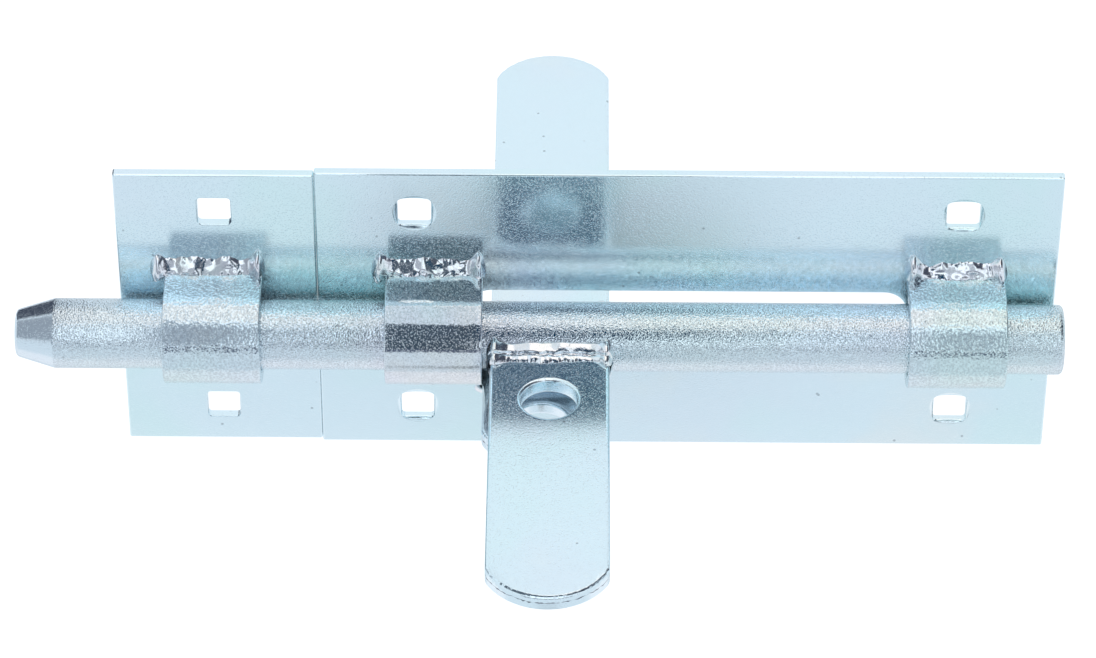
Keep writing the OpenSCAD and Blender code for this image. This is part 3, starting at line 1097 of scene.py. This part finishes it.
half_run = bead_in["Run"] * 0.5
ends = {"Start": point_of(-half_run), "End": point_of(half_run)}
corner_line = put(bead_tree, "GeometryNodeCurvePrimitiveLine", ends)
fine_steps = {"Curve": corner_line, "Count": bead_in["Run"] / bead_step}
fine_line = put(bead_tree, "GeometryNodeResampleCurve", fine_steps)
pie = put(bead_tree, "GeometryNodeCurveArc", {
    "Resolution": slice_points, "Radius": slice_radius, "Start Angle": 0.0, "Sweep Angle": slice_angle,
    "Connect Center": True,
})
spot = put(bead_tree, "GeometryNodeInputPosition")
spot_parts = amounts_of(add(bead_tree, "ShaderNodeSeparateXYZ", {0: spot}))
slice_share = calc("ARCTAN2", spot_parts["Y"], spot_parts["X"]) / slice_angle
distance = Amount(add(bead_tree, "ShaderNodeVectorMath", {0: spot}, operation="LENGTH").outputs["Value"])
on_rim = calc("GREATER_THAN", distance, slice_radius / 2)
pie = noted(noted(pie, "share", slice_share), "reach", on_rim)
swept = {"Curve": fine_line, "Profile Curve": pie, "Fill Caps": True}
raw_bead = put(bead_tree, "GeometryNodeCurveToMesh", swept)

# %% [markdown]
# Then every point is set afresh. Its share of the way round gives an angle, which opens wider past the
# ends of the strap, where the bead runs round it. The two legs of the bead give a slope between them,
# flat in the middle of the run and round at its ends. The bead is fat near both ends, with a waist behind
# each.

# %% Slope of the bead
cap_length = 1.7 * MM
least_closing = 0.08
over_blend = 1.1
wrap_share = 0.75
plain_flatness = 1.2
fat_flatness = 0.7


def read_note(label):
    return put(bead_tree, "GeometryNodeInputNamedAttribute", {"Name": label}, data_type="FLOAT")


def round_off(distance):
    """Closes an end off round."""
    left = calc("SUBTRACT", 1.0, distance / cap_length, clamp=True)
    return calc("SQRT", calc("SUBTRACT", 1.0, left * left, clamp=True))


def hump(distance, middle, width):
    off = (distance - middle) / width
    return calc("EXPONENT", -(off * off))


share = read_note("share")
along_x = spot_parts["X"]
from_start = along_x + half_run
from_end = half_run - along_x
past_start = ramp(from_start, 0.0, bead_in["Start Over"] * over_blend, 1.0, 0.0)
past_end = ramp(from_end, 0.0, bead_in["End Over"] * over_blend, 1.0, 0.0)
wrap = (1.0 - share) * calc("MAXIMUM", past_start, past_end) * wrap_share * calc("SIGN", bead_in["Sweep"])
angle = bead_in["From"] + share * bead_in["Sweep"] - wrap
cosine = calc("COSINE", angle)
sine = calc("SINE", angle)
closing = calc("MAXIMUM", calc("MINIMUM", round_off(from_start), round_off(from_end)), least_closing)
fat = hump(from_start, 2.4 * MM, 1.6 * MM) + hump(from_end, 2.0 * MM, 1.6 * MM)
thin = hump(from_start, 6.5 * MM, 2.2 * MM) + hump(from_end, 6.5 * MM, 3.0 * MM)
flatness = fat * fat_flatness + plain_flatness
legs_sum = (abs(cosine) / bead_in["Out"]) ** flatness + (abs(sine) / bead_in["Up"]) ** flatness
slope = legs_sum ** (-1.0 / flatness)
swell = fat * bead_in["Flare"] - thin * bead_in["Waist"]

# %% [markdown]
# What makes it look laid by hand comes last: ripples that bow backwards, lumps on the slope, rags that
# are deepest at the toes, and a groove that wanders along some of the beads. The seed gives each bead its
# own lumps.

# %% Ripples, lumps and rags of the bead
lump_size = 4.5 * MM
rag_size = 1.5 * MM
wander_size = 2.2 * MM
noise_reach = 3 * MM
groove_at = 0.24
groove_width = 0.07
groove_wander = 0.22
bow_depth = 3.0
toe_power = 3.0
least_rags = 0.06
around = point_of(along_x, cosine * noise_reach, sine * noise_reach)


def bead_noise(size, detail=0.0):
    """Noise from -0.5 to 0.5 over the bead's surface, which the seed shifts."""
    inputs = {"Vector": shrunk(around, size), "W": bead_in["Seed"], "Scale": 1.0, "Detail": detail}
    return put(bead_tree, "ShaderNodeTexNoise", inputs, noise_dimensions="4D") - 0.5


from_middle = share - 0.5
bow = from_middle * from_middle * bow_depth
wave = calc("COSINE", (along_x / bead_in["Ripple Pitch"] + bow) * (2 * math.pi)) * bead_in["Ripple"]
lumps = bead_noise(lump_size) * bead_in["Lumps"]
toe = (abs(from_middle) * 2.0) ** toe_power
rags = bead_noise(rag_size) * ((toe + least_rags) * bead_in["Rags"])
groove_line = share + bead_noise(wander_size, 1.0) * groove_wander
groove = hump(groove_line, groove_at, groove_width) * bead_in["Groove"]
factor = 1.0 + swell - groove + wave + lumps + rags
radius = slope * factor * closing * read_note("reach")
bead_point = point_of(along_x, -(cosine * radius), sine * radius)
shaped = put(bead_tree, "GeometryNodeSetPosition", {"Geometry": raw_bead, "Position": bead_point})
placed = put(bead_tree, "GeometryNodeTransform", {
    "Geometry": shaped, "Translation": bead_in["Place"], "Rotation": bead_in["Turn"],
})
end_tree(bead_tree, placed, bead_in["Finish"])

# %% [markdown]
# The beads differ in their corner, their two legs and their seed. On the hoops the long leg climbs the
# plate. The corner of each is read from the boxes of what it joins, and sunk by a hair so that no gap
# shows.

# %% Lay the beads on the hoops
sink = 0.15 * MM
leg_on_strap = 2.9 * MM
leg_on_plate = 4.0 * MM
least_over = 0.3 * MM
hoop_bead = dict(
    Out=leg_on_strap, Up=leg_on_plate, Flare=0.36, Waist=0.16, Ripple_Pitch=2.4 * MM, Ripple=0.002,
    Lumps=0.70, Rags=0.40, Groove=0.0, Start_Over=0.8 * MM, End_Over=0.8 * MM, Turn=(0.0, 0.0, 0.0),
)


def bead(node, corner_y, corner_z, start, sweep, seed, **changes):
    """Lays a bead along a corner, between two angles in degrees, with its own changes to the hoops' bead."""
    low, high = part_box(node)
    values = dict(
        hoop_bead, Run=high.x - low.x, From=math.radians(start), Sweep=math.radians(sweep), Seed=seed,
        Place=((low.x + high.x) / 2, corner_y, corner_z),
    )
    values.update(changes)
    piece = built_by(bead_tree, bead_ids, node.replace("_weld", "_bead"), bead_finish, **values)
    stand_for(piece, node)


for number, hoop in enumerate(("keep_hoop", "front_hoop", "rear_hoop")):
    hoop_low, hoop_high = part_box(hoop)
    for level, corner_z, sweep in (("upper", hoop_high.z - sink, 90), ("lower", hoop_low.z + sink, -90)):
        node = hoop + "_" + level + "_weld"
        low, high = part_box(node)
        bead(
            node, plate_front + sink, corner_z, 0, sweep, 3.0 + 7 * number + sweep,
            Start_Over=max(hoop_low.x - low.x, least_over), End_Over=max(high.x - hoop_high.x, least_over),
        )

# %% [markdown]
# The handles' beads lie in the corner between flat bar and round bolt, so they open wider than a right
# angle. In front they are big and have the groove. Behind they are slim, since they pass through the
# slot.

# %% Lay the beads on the handles and the lug
handle_sweep = 122
bead_in_rod = 0.3 * MM
front_bead = dict(
    Out=4.7 * MM, Up=3.2 * MM, Start_Over=1.2 * MM, End_Over=1.2 * MM,
    Flare=0.22, Lumps=0.35, Rags=0.30, Groove=0.22,
)
rear_bead = dict(Out=2.4 * MM, Up=2.4 * MM, Start_Over=0.1 * MM, End_Over=0.1 * MM, Flare=0.0)
handle_low, handle_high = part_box("front_handle")
seat = math.sqrt(rod_r ** 2 - (handle_high.z - rod_axis.z) ** 2) - bead_in_rod
for level, corner_z, side in (("upper", handle_high.z - sink, 1), ("lower", handle_low.z + sink, -1)):
    sweep = side * handle_sweep
    bead("front_handle_" + level + "_weld", rod_axis.y - seat, corner_z, 0, sweep, 41.0 + side, **front_bead)
    bead("rear_handle_" + level + "_weld", rod_axis.y + seat, corner_z, 180, -sweep, 61.0 + side, **rear_bead)

lug_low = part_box("padlock_lug")[0]
lug_leg = 3.4 * MM
bead("lug_lower_weld", plate_front + sink, lug_low.z + sink, 0, -90, 83.0, Out=lug_leg, Up=lug_leg)

# The tack at the lug's side runs along Y, so it is turned by a quarter
low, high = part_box("lug_hoop_weld")
tack_leg = 2.2 * MM
bead(
    "lug_hoop_weld", 0.0, 0.0, 25, -150, 97.0,
    Run=high.y - low.y, Out=tack_leg, Up=tack_leg, Flare=0.05, Waist=0.0,
    Place=(front_hoop_high.x + sink, (low.y + high.y) / 2, front_hoop_low.z + 0.1 * MM),
    Turn=(0.0, 0.0, math.radians(-90)), Start_Over=0.1 * MM, End_Over=0.1 * MM,
)
